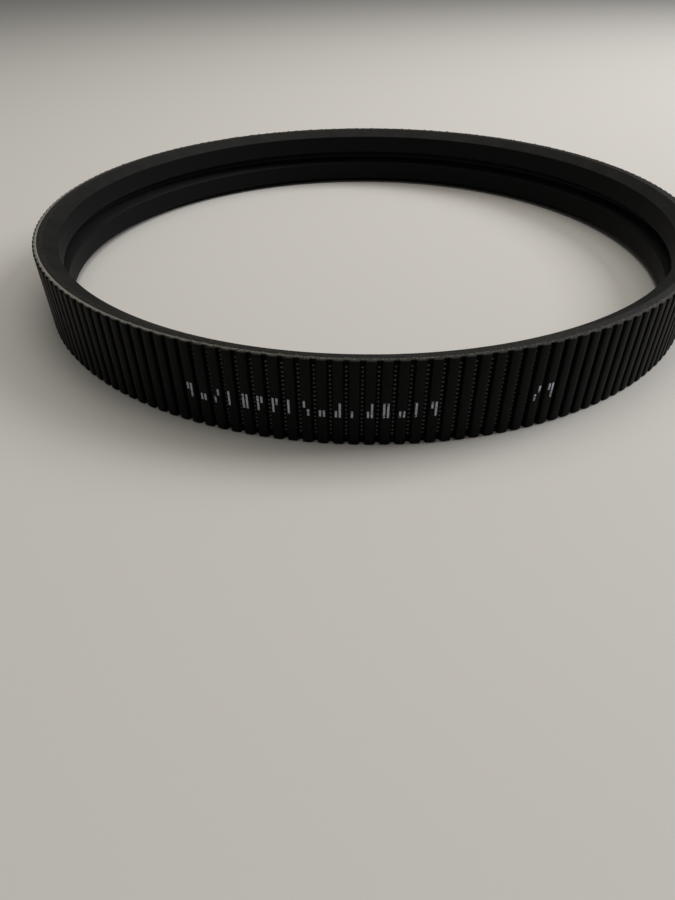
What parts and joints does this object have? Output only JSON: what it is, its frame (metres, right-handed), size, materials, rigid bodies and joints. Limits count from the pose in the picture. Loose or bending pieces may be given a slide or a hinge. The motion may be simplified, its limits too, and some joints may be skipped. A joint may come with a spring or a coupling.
{
  "type": "joined v belt",
  "caption": "Endless joined V belt lying as a free ring: V strands inside a tie band, with cords wound round it under a transverse-ribbed back.",
  "frame": {"origin": "middle of the ring, on the floor under its lower side", "axes": "+Z along the ring's axis, upwards; the camera of the reference view stands on the -Y side"},
  "size_m": [0.2402, 0.2402, 0.0254],
  "materials": {
    "strand_polyurethane": "satin cast polyurethane, slightly bloomed",
    "band_polyurethane": "trimmed, rubbed grey edge of cast polyurethane",
    "back_polyurethane": "satin moulded polyurethane",
    "tensile_cord": "twisted cord coated with polyurethane",
    "printing_ink": "thin worn white ink"
  },
  "bodies": {
    "root": {"lower_strand": "strand_polyurethane", "upper_strand": "strand_polyurethane", "tie_band": "band_polyurethane", "tensile_cord_s_twist": "tensile_cord", "tensile_cord_z_twist": "tensile_cord", "ribbed_back": "back_polyurethane", "long_print_mark": "printing_ink", "short_print_mark": "printing_ink"}
  },
  "joints": []
}
